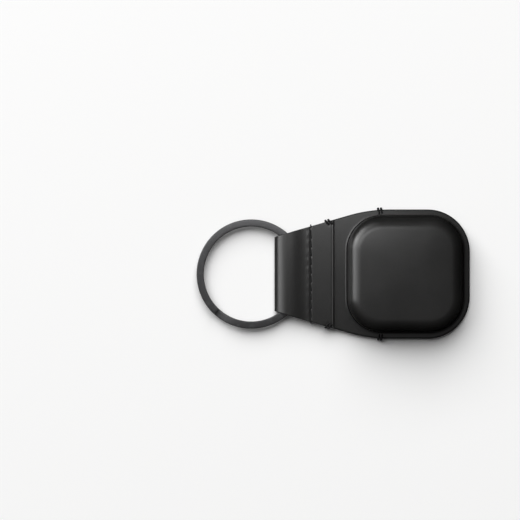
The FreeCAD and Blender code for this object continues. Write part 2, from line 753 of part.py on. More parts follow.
def make_split_ring():
    step = (cell("ring_wire_height") + cell("ring_turn_gap")).value
    low = ring_z.value - step / 2
    high = ring_z.value + step / 2
    ramp_end = math.radians(cell("ring_end_angle").value)
    ramp = math.radians(cell("ring_ramp_angle").value)
    ramp_start = ramp_end - ramp
    axis_foot = Vector(ring_x.value, 0, 0)
    up = Vector(0, 0, 1)
    turn = 360 - math.degrees(ramp)
    lower = Part.Face(wire_section(ramp_end, low)).revolve(axis_foot, up, turn)
    upper = Part.Face(wire_section(ramp_end, high)).revolve(axis_foot, up, turn)
    stations = 13
    sections = []
    for k in range(stations):
        share = k / (stations - 1)
        ease = share * share * (3 - 2 * share)
        sections.append(wire_section(ramp_start + share * ramp, low + (high - low) * ease))
    climb = Part.makeLoft(sections, True, True)
    return plain_shape("split_ring", lower.multiFuse([climb, upper]))


split_ring = make_split_ring()

NODES = [
    front_shell,
    tag_cup,
    cup_lining,
    back_heel,
    heel_lining,
    mouth_tack_upper,
    mouth_tack_lower,
    back_panel,
    closing_plate,
    plate_lining,
    strap,
    strap_tongue,
    strap_core,
    neck_seam,
    tab_tack_upper,
    tab_tack_lower,
    split_ring,
]

doc.recompute()
for item in doc.Objects:
    if "Invalid" in item.State or "Error" in item.State:
        raise RuntimeError(f"{item.Name} did not build: {item.State}")
os.makedirs("parts", exist_ok=True)
for node in NODES:
    shape = node.Shape
    if shape.isNull() or not shape.isValid() or not shape.Solids:
        raise RuntimeError(f"{node.Label} has no valid solid")
    shape.exportStep(f"parts/{node.Label}.step")
    print(node.Label, "solids", len(shape.Solids), "volume", round(shape.Volume, 2))
print("pillow top", round(pillow_top.value, 3), "head half", round(head_half.value, 3))
print("fold", round(loop_x.value, 3), "half width there", round(fold_half.value, 3))
print("ring axis", round(ring_x.value, 3), "ring middle height", round(ring_z.value, 3))
print("panel fold line", round(hinge_x.value, 3))
print("neck line", round(flex_x.value, 3), round(flex_z.value, 3))
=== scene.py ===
"""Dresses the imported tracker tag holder: moulded leather, sewn strap, split ring and the pocket's inside."""

import json
import math

import bmesh
import bpy
from mathutils import Matrix, Vector


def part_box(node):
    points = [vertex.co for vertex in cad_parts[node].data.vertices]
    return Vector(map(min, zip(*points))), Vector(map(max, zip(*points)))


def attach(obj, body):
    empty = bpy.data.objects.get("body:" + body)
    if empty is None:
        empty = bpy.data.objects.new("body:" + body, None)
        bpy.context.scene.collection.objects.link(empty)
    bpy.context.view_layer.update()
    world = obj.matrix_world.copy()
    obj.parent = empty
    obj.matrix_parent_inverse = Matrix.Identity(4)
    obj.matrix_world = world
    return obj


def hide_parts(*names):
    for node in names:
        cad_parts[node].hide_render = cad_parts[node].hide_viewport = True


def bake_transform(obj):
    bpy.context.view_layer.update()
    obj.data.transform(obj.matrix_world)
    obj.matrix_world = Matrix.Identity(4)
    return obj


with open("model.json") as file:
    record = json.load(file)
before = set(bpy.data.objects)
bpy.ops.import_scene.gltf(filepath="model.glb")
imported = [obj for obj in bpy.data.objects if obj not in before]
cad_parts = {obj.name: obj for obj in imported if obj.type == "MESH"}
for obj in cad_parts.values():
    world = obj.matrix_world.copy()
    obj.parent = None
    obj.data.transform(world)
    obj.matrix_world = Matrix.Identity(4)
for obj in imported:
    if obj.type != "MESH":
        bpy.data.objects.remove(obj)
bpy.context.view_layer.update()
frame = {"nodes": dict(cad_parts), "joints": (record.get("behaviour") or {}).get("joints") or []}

bl_info = {
    "name": "Tracker tag holder",
    "version": (1, 0, 0),
    "blender": (4, 5, 0),
    "location": "View3D > Sidebar > Tag holder",
    "description": "Leather, thread, lining and metal for the packed tracker tag holder",
    "category": "Add Mesh",
}

MM = 0.001
UP = Vector((0, 0, 1))
JOINTS = {joint["name"]: joint for joint in frame["joints"]}
MERGE = MM / 1000
SAME_PLACE = MM / 100

# The photograph's frame and the ring's width in it, which gives the scale.
PHOTO_WIDTH = 520
RING_PIXELS = 109

# Places that the frame already knows.
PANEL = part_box("back_panel")
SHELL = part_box("front_shell")
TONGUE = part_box("strap_tongue")
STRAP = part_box("strap")
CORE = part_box("strap_core")
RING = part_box("split_ring")
RING_WIDTH = RING[1].y - RING[0].y
HINGE_X = JOINTS["back_flap_hinge"]["pos_m"][0]
FLEX_X = JOINTS["neck_flex"]["pos_m"][0]
RING_AXIS = Vector(JOINTS["ring_spin"]["pos_m"])

# The strap and the back leather are one sheet on the real holder. Here they meet, on its fixed part.
STRAP_END = -14 * MM

# Where the neck bends and where the back folds open: start and end of the bend along the length.
NECK_BEND = (FLEX_X - 1.4 * MM, 0, 0), (FLEX_X + 1.3 * MM, 0, 0)
BACK_BEND = (HINGE_X - 0.8 * MM, 0, 0), (HINGE_X + 0.8 * MM, 0, 0)

# How deep thread and creases press into the leather, and how high it swells beside them.
BACK_SEAT = 0.7 * MM
SEAM_SEAT = 0.13 * MM
TACK_SEAT = 0.12 * MM
PUCKER = 0.06 * MM
CREASE = 0.055 * MM
LIP = 0.035 * MM

# Order of the three finishes of a leather piece.
SMOOTH, PAINT, FLESH = range(3)

# Fineness of the meshes.
STRIP_COLUMNS = 88
CORNER_STEPS = 28

# Lamps on the ring's side: azimuth, elevation and height in degrees, and power in watts.
SIDE_LAMPS = (
    (13, 16, 22, 0.9),
    (35, 22, 32, 0.95),
    (57, 30, 32, 0.28),
    (13, 36, 18, 0.44),
    (13, 54, 18, 0.16),
)
HOLDER_MIDDLE = (-0.02, 0, 0)


def length(name, text, default):
    return bpy.props.FloatProperty(
        name=name, description=text, default=default, min=0.0, precision=5, unit="LENGTH", subtype="DISTANCE"
    )


def turn(name, text, degrees):
    return bpy.props.FloatProperty(
        name=name, description=text, default=math.radians(degrees), unit="ROTATION", subtype="ANGLE"
    )


def colour(name, text, default):
    return bpy.props.FloatVectorProperty(
        name=name, description=text, default=default, size=3, min=0.0, max=1.0, subtype="COLOR"
    )


class HolderSizes(bpy.types.PropertyGroup):
    """Lengths that shape the leather, the thread and the ring."""

    head_half: length("Head half", "Middle of the head to its sides", PANEL[1].x)
    head_corner: length("Head corner", "Corner radius of the head's outline", 13.5 * MM)
    shoulder_reach: length("Shoulder reach", "Middle of the head to where the neck's sides point", 11.6 * MM)
    shoulder_radius: length("Shoulder radius", "Arc from the neck into the head's sides", 47 * MM)
    fold_half: length("Fold half", "Middle of the strap to its sides at the fold", 11.918 * MM)
    strap_leather: length("Strap leather", "Thickness of the back and strap leather", PANEL[1].z)
    rim_top: length("Rim top", "Height of the front leather's rim", TONGUE[1].z)
    rim_bottom: length("Rim bottom", "Height of the rim's underside", SHELL[0].z)
    pillow_half: length("Pillow half", "Middle of the pillow to its foot", 18.8 * MM)
    pillow_corner: length("Pillow corner", "Corner radius of the pillow at its foot", 11.2 * MM)
    pillow_round: length("Pillow round", "Rounding of the pillow's top edge", 4.5 * MM)
    pillow_crown: length("Pillow crown", "Rise of the pillow's top from its edge to its middle", 0.4 * MM)
    pillow_top: length("Pillow top", "Height of the pillow", SHELL[1].z)
    tab_end: length("Tab end", "Middle of the head to the end of the strap's tab", 22.68 * MM)
    tab_round: length("Tab round", "Rounding of the tab's end", 0.45 * MM)
    crest: length("Crest", "Height of the strap's loop", STRAP[1].z)
    fold_round: length("Fold round", "Large rounding of the fold's upper side", 4.6 * MM)
    fold_turn: turn("Fold turn", "How far the large rounding goes down", 63)
    drop_start: length("Drop start", "Middle of the head to the top of the loop's slope", 37.2 * MM)
    drop_end: length("Drop end", "Middle of the head to the foot of the loop's slope", 31.3 * MM)
    ring_room: length("Ring room", "Room over the ring inside the loop", 0.07 * MM)
    edge_round: length("Edge round", "Rounding of the painted leather edges", 0.2 * MM)
    seam_reach: length("Seam reach", "Middle of the head to the row of stitches", 30.25 * MM)
    stitch_pitch: length("Stitch pitch", "Length of one stitch in the row", 2.8 * MM)
    stitch_span: length("Stitch span", "Hole to hole of one stitch", 2.66 * MM)
    stitch_slant: turn("Stitch slant", "Slant of the stitches in the row", 5)
    tab_tack_reach: length("Tab tack reach", "Middle of the head to the tacks of the tab", 24.8 * MM)
    mouth_tack_reach: length("Mouth tack reach", "Middle of the head to the tacks of the mouth", 8.1 * MM)
    tack_pitch: length("Tack pitch", "Distance between the two stitches of a tack", 0.95 * MM)
    tack_inset: length("Tack inset", "Hole of a tack stitch to the leather's edge", 1.1 * MM)
    tab_tack_slant: turn("Tab tack slant", "Slant of the stitches at the tab", 24)
    mouth_tack_slant: turn("Mouth tack slant", "Slant of the stitches at the mouth", 8)
    thread_radius: length("Thread radius", "Half the thickness of the row's thread", 0.21 * MM)
    tack_radius: length("Tack radius", "Half the thickness of the tacks' thread", 0.36 * MM)
    thread_room: length("Thread room", "Edge of the leather to the thread round it", 0.4 * MM)
    ring_wire_width: length("Wire width", "Width of the ring's flat wire", 2.3 * MM)
    ring_wire_height: length("Wire height", "Height of the ring's flat wire", 0.7 * MM)
    ring_wire_round: length("Wire round", "Rounded corners of the ring's wire", 0.22 * MM)


class HolderColours(bpy.types.PropertyGroup):
    """Colours of the finishes."""

    leather: colour("Leather", "Smooth black leather", (0.0065, 0.0064, 0.0062))
    paint: colour("Edge paint", "Painted cut edges of the leather", (0.006, 0.006, 0.006))
    flesh: colour("Flesh side", "Napped inner side of the leather", (0.03, 0.028, 0.027))
    thread: colour("Thread", "Waxed sewing thread", (0.0022, 0.0022, 0.0024))
    plastic: colour("Plastic", "Moulded cup and closing plate", (0.03, 0.03, 0.032))
    lining: colour("Lining", "Soft lining of the pocket", (0.085, 0.085, 0.09))
    metal: colour("Metal", "Dark plating of the ring", (0.112, 0.112, 0.115))
    floor: colour("Floor", "Pale floor under the holder", (0.96, 0.96, 0.957))


class Plan:
    """The leathers' common outline, seen from the front, with the head's middle at the origin."""

    def __init__(self, sizes):
        self.half = sizes.head_half
        self.corner = sizes.head_corner
        self.flat = self.half - self.corner
        self.meet = -sizes.shoulder_reach
        self.radius = sizes.shoulder_radius
        self.slope = math.atan2(self.half - sizes.fold_half, self.meet - STRAP[0].x)
        reach = self.radius * math.tan(self.slope / 2)
        self.neck_end = self.meet - reach * math.cos(self.slope)
        self.side_start = self.meet + reach

    def half_at(self, x):
        """Half of the width at a place along the length."""
        if x < self.neck_end:
            return self.half + math.tan(self.slope) * (x - self.meet)
        if x < self.side_start:
            rise = math.sqrt(self.radius**2 - (x - self.side_start) ** 2)
            return self.half - self.radius + rise
        if x <= self.flat:
            return self.half
        return self.flat + math.sqrt(max(0, self.corner**2 - (x - self.flat) ** 2))

    def slope_at(self, x):
        """Slant of the upper side against +X."""
        if x < self.neck_end:
            return self.slope
        if x < self.side_start:
            return math.asin((self.side_start - x) / self.radius)
        return 0.0


def verts_in(geom):
    return [item for item in geom if isinstance(item, bmesh.types.BMVert)]


def edges_in(geom):
    return [item for item in geom if isinstance(item, bmesh.types.BMEdge)]


def eased(share):
    """Goes from 0 to 1 with a level start and end."""
    return share * share * (3 - 2 * share)


def ridge(away, width):
    """Bell curve: 1 on a line, 0 away from it."""
    return math.exp(-((away / width) ** 2))


class Pen:
    """Draws a chain of edges: straight runs are extruded, bends are spun."""

    def __init__(self, bm, start):
        self.bm = bm
        self.tip = bm.verts.new(start)
        self.trail = [self.tip]

    def run(self, end, steps=1):
        step = (Vector(end) - self.tip.co) / steps
        for _ in range(steps):
            self.tip = bmesh.ops.extrude_vert_indiv(self.bm, verts=[self.tip])["verts"][0]
            bmesh.ops.translate(self.bm, verts=[self.tip], vec=step)
            self.trail.append(self.tip)

    def bend(self, centre, axis, angle, steps):
        for _ in range(steps):
            made = bmesh.ops.spin(
                self.bm, geom=[self.tip], cent=centre, axis=axis, angle=angle / steps, steps=1
            )
            self.tip = verts_in(made["geom_last"])[0]
            self.trail.append(self.tip)


def head_outline(bm, plan, start_x, z):
    """Closed edge loop of the plan from a place on the neck to the head's free end."""
    before = set(bm.edges)
    pen = Pen(bm, (start_x, 0, z))
    pen.run((start_x, plan.half_at(start_x), z))
    if start_x < plan.neck_end:
        pen.run((plan.neck_end, plan.half_at(plan.neck_end), z))
    turned = plan.slope_at(max(start_x, plan.neck_end))
    pen.bend((plan.side_start, plan.half - plan.radius, z), UP, -turned, 16)
    pen.run((plan.flat, plan.half, z), 4)
    pen.bend((plan.flat, plan.flat, z), UP, -math.pi / 2, CORNER_STEPS)
    pen.run((plan.half, 0, z))
    drawn = [edge for edge in bm.edges if edge not in before]
    bmesh.ops.mirror(bm, geom=pen.trail + drawn, axis="Y", merge_dist=MERGE)
    return [edge for edge in bm.edges if edge not in before]


def rounded_square(bm, half, corner, z, steps=22):
    """Closed edge loop of a square with round corners, centred on the origin."""
    before = set(bm.edges)
    flat = half - corner
    pen = Pen(bm, (half, -flat, z))
    for quarter in range(4):
        turned = Matrix.Rotation(quarter * math.pi / 2, 3, "Z")
        pen.run(turned @ Vector((half, flat, z)), 3)
        pen.bend(turned @ Vector((flat, flat, z)), UP, math.pi / 2, steps)
    bmesh.ops.remove_doubles(bm, verts=[pen.trail[0], pen.trail[-1]], dist=MERGE)
    return [edge for edge in bm.edges if edge not in before]


def fill(bm, edges):
    """One face in a closed edge loop, facing up."""
    face = bmesh.ops.contextual_create(bm, geom=edges)["faces"][0]
    face.normal_update()
    if face.normal.z < 0:
        face.normal_flip()
    return face


def inset(bm, face, inward, rise):
    """Draws a face in and raises it; gives the faces round it."""
    return bmesh.ops.inset_region(
        bm, faces=[face], thickness=inward, depth=rise, use_even_offset=True, use_boundary=True
    )["faces"]


def soften(bm, edges, offset, segments=3):
    """Rounds edges; gives the new faces."""
    return bmesh.ops.bevel(
        bm, geom=edges, offset=offset, segments=segments, profile=0.5, affect="EDGES", material=-1
    )["faces"]


def cut_across(bm, start, end, cuts):
    """Lets a sheet bend: cuts it across at even places along its length."""
    for k in range(cuts + 1):
        place = Vector((start + (end - start) * k / cuts, 0, 0))
        everything = bm.verts[:] + bm.edges[:] + bm.faces[:]
        bmesh.ops.bisect_plane(bm, geom=everything, dist=MERGE, plane_co=place, plane_no=(1, 0, 0))


def raise_up(bm, height):
    """Makes a flat sheet a slab."""
    grown = bmesh.ops.extrude_face_region(bm, geom=bm.faces[:])["geom"]
    bmesh.ops.translate(bm, verts=verts_in(grown), vec=UP * height)
    bmesh.ops.recalc_face_normals(bm, faces=bm.faces[:])


def make_piece(bm, name, finishes, flats=False):
    """Turns a bmesh into an object of the scene."""
    mesh = bpy.data.meshes.new(name)
    bm.to_mesh(mesh)
    bm.free()
    mesh.shade_smooth()
    mesh.set_sharp_from_angle(angle=math.radians(50))
    for finish in finishes:
        mesh.materials.append(finish)
    piece = bpy.data.objects.new(name, mesh)
    bpy.context.scene.collection.objects.link(piece)
    if flats:
        piece.modifiers.new("flat faces", "WEIGHTED_NORMAL").keep_sharp = True
    return piece


# Stitches. Each one is a pair of places in plan: where the thread goes down, and where it comes up again.


def seam_stitches(sizes, plan):
    """Ends of the stitches in the row across the neck, with one round each edge."""
    x = -sizes.seam_reach
    half = plan.half_at(x)
    count = int(2 * half / sizes.stitch_pitch)
    reach = sizes.stitch_span / 2
    way = Vector((-math.sin(sizes.stitch_slant), math.cos(sizes.stitch_slant), 0))
    pairs = []
    for k in range(count):
        middle = Vector((x, (k - (count - 1) / 2) * sizes.stitch_pitch, 0))
        pairs.append((middle - way * reach, middle + way * reach))
    last = (count - 1) / 2 * sizes.stitch_pitch + reach * way.y + 2 * sizes.thread_room
    for side in (-1, 1):
        outer = Vector((x, side * (half + sizes.thread_room), 0))
        pairs.append((Vector((x, side * last, 0)), outer))
    return pairs


def tack_stitches(sizes, plan, reach, slant):
    """Ends of the two slanted stitches round each edge at a place along the length."""
    slope = plan.slope_at(-reach)
    along = Vector((math.cos(slope), math.sin(slope), 0))
    outward = Vector((-math.sin(slope), math.cos(slope), 0))
    way = outward - along * math.tan(slant)
    pairs = []
    for side in (-1, 1):
        for step in (-0.5, 0.5):
            place = Vector((-reach, plan.half_at(-reach), 0)) + along * step * sizes.tack_pitch
            ends = (place - way * sizes.tack_inset, place + way * sizes.thread_room)
            pairs.append([Vector((end.x, side * end.y, 0)) for end in ends])
    return pairs


def seat_depth(place, pairs, width):
    """How far a stitch presses in at a place: 1 along the thread, 0 away from it."""
    deepest = 0.0
    for start, end in pairs:
        way = end - start
        share = max(0, min(1, (place - start).dot(way) / way.length_squared))
        away = (place - start - way * share).length
        deepest = max(deepest, ridge(away, width))
    return deepest


def stitch_path(span, rise, bend):
    """Points of a closed loop of thread in the XZ plane, from the middle of its upper bar."""
    bm = bmesh.new()
    across = (0, 1, 0)
    pen = Pen(bm, (span / 2, 0, rise))
    pen.run((span - bend, 0, rise), 4)
    pen.bend((span - bend, 0, rise - bend), across, math.pi / 2, 6)
    pen.run((span, 0, bend), 5)
    pen.bend((span - bend, 0, bend), across, math.pi / 2, 6)
    pen.run((bend, 0, 0), 8)
    pen.bend((bend, 0, bend), across, math.pi / 2, 6)
    pen.run((0, 0, rise - bend), 5)
    pen.bend((bend, 0, rise - bend), across, math.pi / 2, 6)
    pen.run((span / 2, 0, rise), 4)
    points = [vert.co.copy() for vert in pen.trail]
    bm.free()
    return points


def lay_thread(bm, path, radius, lay):
    """A three-ply thread along a closed flat path: a three-lobed section, turned as it is extruded."""
    walked = [0.0]
    for first, second in zip(path, path[1:]):
        walked.append(walked[-1] + (second - first).length)
    plies = 3
    hollow, lobe = 0.9, 0.14
    closing = MM / 200
    twist = round(walked[-1] / lay * plies) / plies * 2 * math.pi
    frames = []
    for k, point in enumerate(path):
        after = path[k + 1] if k + 1 < len(path) else path[1]
        before = path[k - 1] if k > 0 else path[-2]
        along = (after - before).normalized()
        side = Vector((0, 1, 0))
        axes = Matrix((side.cross(along), side, along)).transposed().to_4x4()
        spin = Matrix.Rotation(twist * walked[k] / walked[-1], 4, "Z")
        frames.append(Matrix.Translation(point) @ axes @ spin)
    made = bmesh.ops.create_circle(bm, segments=15, radius=radius)["verts"]
    for vert in made:
        vert.co *= hollow + lobe * math.cos(plies * math.atan2(vert.co.y, vert.co.x))
    edges = list(dict.fromkeys(edge for vert in made for edge in vert.link_edges))
    bmesh.ops.transform(bm, matrix=frames[0], verts=made)
    every = list(made)
    for before, after in zip(frames, frames[1:]):
        grown = bmesh.ops.extrude_edge_only(bm, edges=edges)["geom"]
        verts = verts_in(grown)
        edges = [edge for edge in edges_in(grown) if all(vert in verts for vert in edge.verts)]
        bmesh.ops.transform(bm, matrix=after @ before.inverted(), verts=verts)
        every += verts
    bmesh.ops.remove_doubles(bm, verts=every, dist=closing)
    return [vert for vert in every if vert.is_valid]


def sew(bm, pairs, radius, low, high):
    """Lays one loop of thread for each pair of places."""
    bend, lay = 0.42 * MM, 8 * radius
    for start, end in pairs:
        way = end - start
        path = stitch_path(way.length, high - low, bend)
        verts = lay_thread(bm, path, radius, lay)
        turned = Matrix.Rotation(math.atan2(way.y, way.x), 4, "Z")
        place = Matrix.Translation(start + UP * low) @ turned
        bmesh.ops.transform(bm, matrix=place, verts=verts)
    bmesh.ops.recalc_face_normals(bm, faces=bm.faces[:])


# Leather sheets.


def shell_side(bm, plan, z, foot_half, foot_corner, profile):
    """One side of the front leather: a flat rim, then rings that climb the pillow.

    Gives the outline's edges and the top face.
    """
    border_width = 0.6 * MM
    rim = fill(bm, head_outline(bm, plan, TONGUE[0].x, z))
    border = inset(bm, rim, border_width, 0)
    outline = [edge for face in border for edge in face.edges if edge.is_boundary]
    inner = list(rim.edges)
    bmesh.ops.delete(bm, geom=[rim], context="FACES_ONLY")
    foot = rounded_square(bm, foot_half, foot_corner, z)
    bmesh.ops.triangle_fill(bm, edges=inner + foot, use_beauty=True, use_dissolve=False, normal=UP)
    top = fill(bm, foot)
    half, height = foot_half, z
    for next_half, next_height in profile:
        inset(bm, top, half - next_half, next_height - height)
        half, height = next_half, next_height
    return outline, top


def rounding(half, height, radius, start, end, steps):
    """Half widths and heights up a rounded edge that begins at a half width and a height."""
    rings = []
    for k in range(steps + 1):
        angle = start + (end - start) * k / steps
        rings.append((half - radius * (1 - math.cos(angle)), height + radius * math.sin(angle)))
    return rings


def front_profile(sizes):
    """Rings of the pillow's outside: a pressed bead, the crease at its foot, the wall and the rounding.

    The bead and the foot are given in mm, out from the pillow's foot and up from the rim.
    """
    half, rim = sizes.pillow_half, sizes.rim_top
    bead = [(0.36, 0.0), (0.25, 0.06), (0.14, 0.12), (0.04, 0.14), (-0.05, 0.08), (-0.14, -0.06)]
    foot = [(-0.2, -0.19), (-0.27, -0.2), (-0.32, 0.02), (-0.35, 0.5)]
    rings = [(half + out * MM, rim + up * MM) for out, up in bead + foot]
    wall = rings[-1][0]
    shoulder = sizes.pillow_top - 0.55 * sizes.pillow_crown - sizes.pillow_round
    rings.append((wall, 0.5 * (shoulder + rings[-1][1])))
    return rings + rounding(wall, shoulder, sizes.pillow_round, 0, math.radians(86), 15)


def inner_profile(sizes):
    """Rings of the pillow's inside, which the cup fills."""
    thickness = sizes.rim_top - sizes.rim_bottom
    draft = math.radians(4)
    half, low = sizes.pillow_half - thickness, sizes.rim_bottom
    rings = [(half + 0.3 * MM, low + 0.05 * MM), (half + 0.1 * MM, low + 0.25 * MM), (half, low + 0.6 * MM)]
    radius = sizes.pillow_round - thickness
    shoulder = sizes.pillow_top - thickness - radius
    wall = half - math.tan(draft) * (shoulder - low)
    return rings + rounding(wall, shoulder, radius, draft, math.radians(90), 8)


def crown(bm, top, rise, rings=9):
    """Domes a flat top with rings that draw in towards its middle."""
    drawn_in, scale = 0.92, 1.0
    for k in range(1, rings + 1):
        share = 1 - drawn_in * k / rings
        step = rise * (scale**2 - share**2)
        inset(bm, top, 0, step)
        bmesh.ops.scale(bm, verts=list(top.verts), vec=(share / scale, share / scale, 1))
        scale = share


def sweep_across(bm, plan):
    """Makes a path, drawn along the sheet's lower side at y = -1, a sheet as wide as the plan."""
    bmesh.ops.spin(
        bm,
        geom=bm.verts[:] + bm.edges[:],
        cent=(0, 0, 0),
        axis=(0, 1, 0),
        dvec=(0, 2 / STRIP_COLUMNS, 0),
        angle=0,
        steps=STRIP_COLUMNS,
    )
    for vert in bm.verts:
        vert.co.y *= plan.half_at(vert.co.x)


def face_out(bm, chosen, way):
    """Turns a sheet so that all its faces agree with a chosen face, which looks a given way."""
    bmesh.ops.recalc_face_normals(bm, faces=bm.faces[:])
    bm.normal_update()
    if chosen.normal.dot(way) < 0:
        bmesh.ops.reverse_faces(bm, faces=bm.faces[:])


def thicken(bm, thickness, keep_end):
    """Makes a sheet thick and paints its sides.

    Gives the outer face's vertices, and the edges of the sides except at one end.
    """
    outer = set(bm.faces)
    outer_verts = list(bm.verts)
    bmesh.ops.solidify(bm, geom=bm.faces[:], thickness=thickness)
    sides = []
    for face in bm.faces:
        if face in outer:
            continue
        if any(other in outer for edge in face.edges for other in edge.link_faces):
            sides.append(face)
        else:
            face.material_index = FLESH
    bmesh.ops.recalc_face_normals(bm, faces=bm.faces[:])
    kept = set(sides)
    borders = []
    for face in sides:
        face.material_index = PAINT
        for edge in face.edges:
            at_end = all(abs(vert.co.x - keep_end) < SAME_PLACE for vert in edge.verts)
            if not at_end and any(other not in kept for other in edge.link_faces):
                borders.append(edge)
    return outer_verts, list(dict.fromkeys(borders))


def paint_border(bm, borders, offset):
    """Rounds the edges of a cut side and paints the rounding."""
    for face in soften(bm, borders, offset):
        face.material_index = PAINT


def draw_strap(bm, sizes):
    """Path of the strap's outer face: tab, slope, crest, fold and back leg."""
    across = (0, 1, 0)
    tab, crest = sizes.rim_top + sizes.strap_leather, sizes.crest
    large, turned = sizes.fold_round, sizes.fold_turn
    small = (crest - large * (1 - math.cos(turned))) / (1 + math.cos(turned))
    nose_x = STRAP[0].x + small
    fold_x = nose_x + (large - small) * math.sin(turned)
    steps = 30
    # Stretches of the tab and of the back leg: end in mm, and cuts, close where thread presses in.
    tab_cuts = ((-25.6, 28), (-29.2, 8), (-31.0, 22))
    leg_cuts = ((-31.4, 9), (-29.2, 22), (-27.0, 6), (-23.2, 32), (-22.4, 4), (-19.4, 12))
    pen = Pen(bm, (-sizes.tab_end, -1, tab))
    for x, cuts in tab_cuts:
        pen.run((x * MM, -1, tab), cuts)
    pen.run((-sizes.drop_end, -1, tab))
    for k in range(1, steps + 1):
        share = k / steps
        x = -sizes.drop_end - (sizes.drop_start - sizes.drop_end) * share
        pen.run((x, -1, tab + (crest - tab) * eased(share)))
    pen.run((fold_x, -1, crest), 4)
    pen.bend((fold_x, -1, crest - large), across, -turned, 20)
    pen.bend((nose_x, -1, small), across, turned - math.pi, 14)
    for x, cuts in leg_cuts:
        pen.run((x * MM, -1, 0), cuts)
    pen.run((STRAP_END, -1, 0), 4)


class Signal:
    """A shader node's output; sums on it add Math nodes."""

    def __init__(self, tree, socket):
        self.tree = tree
        self.socket = socket

    @classmethod
    def node(cls, tree, kind, settings=None, sockets=None, output=0):
        """Adds a node: its settings first, then the values or links of its sockets."""
        made = tree.nodes.new(kind)
        for name, value in (settings or {}).items():
            setattr(made, name, value)
        for name, value in (sockets or {}).items():
            if isinstance(value, Signal):
                tree.links.new(value.socket, made.inputs[name])
            else:
                made.inputs[name].default_value = value
        return cls(tree, made.outputs[output]) if made.outputs else made

    def math(self, operation, first, second=0.0):
        """Adds a Math node of two values."""
        return Signal.node(self.tree, "ShaderNodeMath", {"operation": operation}, {0: first, 1: second})

    def __add__(self, other):
        return self.math("ADD", self, other)

    __radd__ = __add__

    def __mul__(self, other):
        return self.math("MULTIPLY", self, other)

    __rmul__ = __mul__

    def __sub__(self, other):
        return self.math("SUBTRACT", self, other)

    def __rsub__(self, other):
        return self.math("SUBTRACT", other, self)

    def __pow__(self, other):
        return self.math("POWER", self, other)

    def ramp(self, low, high):
        """Eases from 0 at one value to 1 at another."""
        sockets = {"Value": self, "From Min": low, "From Max": high}
        return Signal.node(self.tree, "ShaderNodeMapRange", {"interpolation_type": "SMOOTHSTEP"}, sockets)

    def parts(self):
        """The three parts of a vector."""
        split = Signal.node(self.tree, "ShaderNodeSeparateXYZ", None, {0: self}).socket.node
        return [Signal(self.tree, output) for output in split.outputs]

    def tint(self, dark, light):
        """Mixes two colours by this value."""
        sockets = {0: self, 6: (*dark, 1), 7: (*light, 1)}
        return Signal.node(self.tree, "ShaderNodeMix", {"data_type": "RGBA"}, sockets, output=2)


class Finish:
    """A material under way: a tree, the place on the piece, and its Principled shader at the end."""

    def __init__(self, name):
        self.material = bpy.data.materials.new(name)
        self.material.use_nodes = True
        self.tree = self.material.node_tree
        self.tree.nodes.clear()
        self.place = self.node("ShaderNodeTexCoord", output=3)

    def node(self, kind, settings=None, sockets=None, output=0):
        return Signal.node(self.tree, kind, settings, sockets, output)

    def moved(self, location=(0, 0, 0), scale=(1, 1, 1), source=None):
        """The place, shifted and stretched."""
        sockets = {"Vector": source or self.place, "Location": location, "Scale": scale}
        return self.node("ShaderNodeMapping", None, sockets)

    def noise(self, size, detail=2.0, source=None, output=0):
        """Soft random pattern whose patches are about a size across."""
        sockets = {"Vector": source or self.place, "Scale": 1 / size, "Detail": detail, "Roughness": 0.55}
        return self.node("ShaderNodeTexNoise", None, sockets, output)

    def cells(self, size, feature, source):
        """Cells about a size across."""
        sockets = {"Vector": source, "Scale": 1 / size}
        return self.node("ShaderNodeTexVoronoi", {"feature": feature}, sockets)

    def warped(self, size, amount):
        """The place, pushed about by noise, so that cells don't look ruled."""
        drift = self.noise(size, output=1)
        sockets = {0: drift, 1: (0.5, 0.5, 0.5)}
        centred = self.node("ShaderNodeVectorMath", {"operation": "SUBTRACT"}, sockets)
        sockets = {0: centred, 1: (amount, amount, amount), 2: self.place}
        return self.node("ShaderNodeVectorMath", {"operation": "MULTIPLY_ADD"}, sockets)

    def bump(self, height, distance):
        """Small relief, as high as a distance."""
        sockets = {"Height": height, "Distance": distance, "Strength": 1.0}
        return self.node("ShaderNodeBump", None, sockets)

    def shade(self, **sockets):
        """Ends the tree with a Principled shader; names with _ stand for its socket names."""
        named = {name.replace("_", " "): value for name, value in sockets.items()}
        shader = self.node("ShaderNodeBsdfPrincipled", None, named)
        self.node("ShaderNodeOutputMaterial", None, {"Surface": shader})
        return self.material


def lighter(base, factor):
    """A colour times a factor, up to white."""
    return [min(1.0, part * factor) for part in base]


def finish_of(name, make, colours):
    """The finish of that name, made on first use."""
    return bpy.data.materials.get(name) or make(Finish(name), colours)


def smooth_leather(look, colours):
    """Fine-grained black leather: small flat plates between creases, pores, and a faint cloudiness."""
    spot = look.warped(1.4 * MM, 0.28 * MM)
    plates = look.cells(0.62 * MM, "DISTANCE_TO_EDGE", spot).ramp(0.0, 0.32)
    pores = look.noise(0.12 * MM, 3.0)
    cloud = look.noise(11 * MM, 3.0)
    height = plates * 0.75 + pores * 0.35
    tone = cloud.ramp(0.3, 0.7) * 0.55 + plates * 0.3
    return look.shade(
        Base_Color=tone.tint(lighter(colours.leather, 0.75), lighter(colours.leather, 1.35)),
        Roughness=0.32 - plates * 0.06 + cloud * 0.08,
        IOR=1.5,
        Coat_Weight=0.8,
        Coat_Roughness=0.3,
        Normal=look.bump(height, 0.012 * MM),
    )


def edge_paint(look, colours):
    """Edge paint: a smooth thick coat that follows the fibres a little."""
    lumps = look.noise(0.5 * MM, 2.0)
    specks = look.noise(0.1 * MM, 2.0)
    return look.shade(
        Base_Color=lumps.tint(lighter(colours.paint, 0.8), lighter(colours.paint, 1.5)),
        Roughness=0.5 + specks * 0.15,
        Normal=look.bump(lumps * 0.8 + specks * 0.2, 0.03 * MM),
    )


